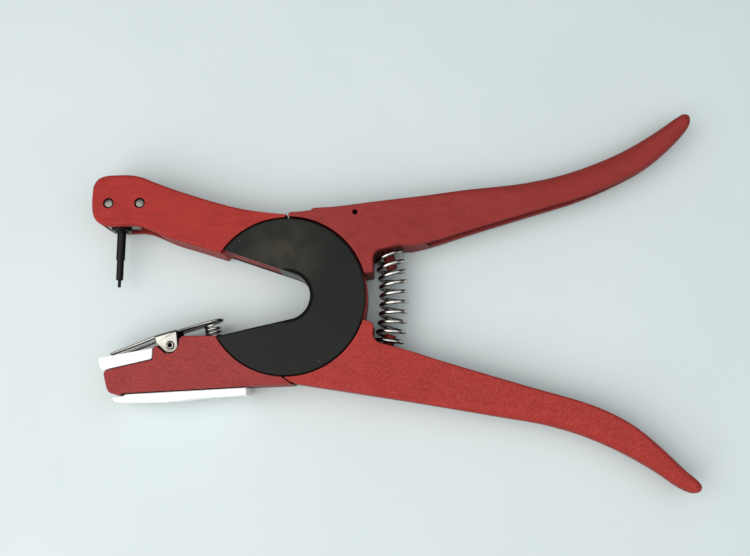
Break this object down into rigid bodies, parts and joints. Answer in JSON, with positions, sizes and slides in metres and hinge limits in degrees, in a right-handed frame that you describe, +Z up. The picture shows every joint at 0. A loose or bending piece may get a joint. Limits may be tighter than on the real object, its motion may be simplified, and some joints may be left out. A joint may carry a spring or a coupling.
{
  "type": "ear tag applicator pliers",
  "caption": "Ear-tag applicator pliers: crossed red cast arms on an open C-shaped rotary joint, with a return spring, an applicator pin and a sprung tag clip.",
  "frame": {"origin": "middle of the tool's footprint on the surface it lies on", "axes": "+Z up out of the front face, +X from the jaws towards the handles, +Y from the lower jaw towards the upper jaw"},
  "size_m": [0.2542, 0.1586, 0.02],
  "materials": {
    "red_coat": "satin fine-speckled powder coat",
    "black_plate": "satin black coating",
    "dark_ring": "satin dark grey",
    "black_oxide": "black oxide",
    "steel": "machined",
    "nickel": "bright nickel plate",
    "white_plastic": "matte moulded"
  },
  "bodies": {
    "lower_jaw_body": {"lower_jaw_arm": "red_coat", "front_joint_plate": "black_plate", "rear_joint_plate": "black_plate", "hub_ring": "dark_ring", "joint_screw_1": "black_oxide", "joint_screw_2": "black_oxide", "joint_screw_3": "black_oxide", "joint_screw_4": "black_oxide", "slot_sleeve_1": "steel", "slot_sleeve_2": "steel", "main_spring": "nickel", "jaw_insert": "white_plastic", "jaw_bottom_strip": "white_plastic", "clip_pivot_pin": "nickel", "clip_spring": "nickel"},
    "upper_jaw_body": {"upper_jaw_arm": "red_coat", "pin_block": "steel", "cross_pin_1": "nickel", "cross_pin_2": "nickel", "pin_collar": "black_oxide", "applicator_pin": "black_oxide"},
    "clip_body": {"tag_clip": "nickel"}
  },
  "joints": [
    {"name": "jaw_joint", "type": "hinge", "parent": "lower_jaw_body", "child": "upper_jaw_body", "pos_m": [-0.04438, 0.00009, 0.01], "axis": [0, 0, 1], "range_deg": [0, 26], "stiffness_Nm_per_rad": 3, "springref_deg": -22.92, "deforming": ["main_spring"]},
    {"name": "clip_hinge", "type": "hinge", "parent": "lower_jaw_body", "child": "clip_body", "pos_m": [-0.09208, -0.01991, 0.01], "axis": [0, 0, -1], "range_deg": [0, 8], "stiffness_Nm_per_rad": 0.2, "springref_deg": -17.19, "deforming": ["clip_spring"]}
  ]
}
